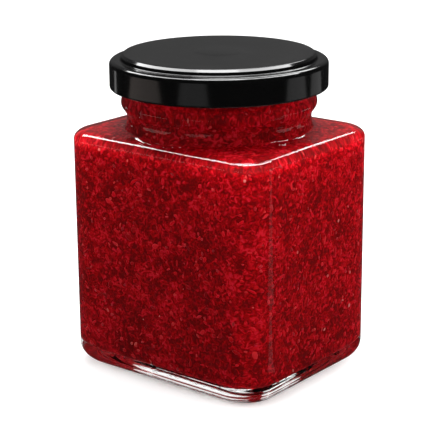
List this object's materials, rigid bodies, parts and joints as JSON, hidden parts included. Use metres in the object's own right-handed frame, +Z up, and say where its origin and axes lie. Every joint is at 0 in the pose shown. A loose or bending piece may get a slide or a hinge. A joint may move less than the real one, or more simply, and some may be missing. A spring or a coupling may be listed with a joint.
{
  "type": "jam jar",
  "caption": "Clear glass rectangular jar with rounded edges and a round neck, full of crushed red berry jam under a black twist-off lid.",
  "frame": {"origin": "centre of the standing rim, on the surface that the jar stands on, below the middle of its neck", "axes": "+Z up along the neck's axis; the wide faces look along -Y and +Y and the narrow faces along -X and +X"},
  "size_m": [0.0734, 0.066, 0.098],
  "materials": {
    "clear_glass": "fire-polished clear container glass",
    "berry_jam": "wet crushed red berries with seeds",
    "black_tinplate": "black lacquer, satin on the panel and glossy on the rim"
  },
  "bodies": {
    "root": {"jar": "clear_glass", "jam": "berry_jam", "lid": "black_tinplate"}
  },
  "joints": []
}
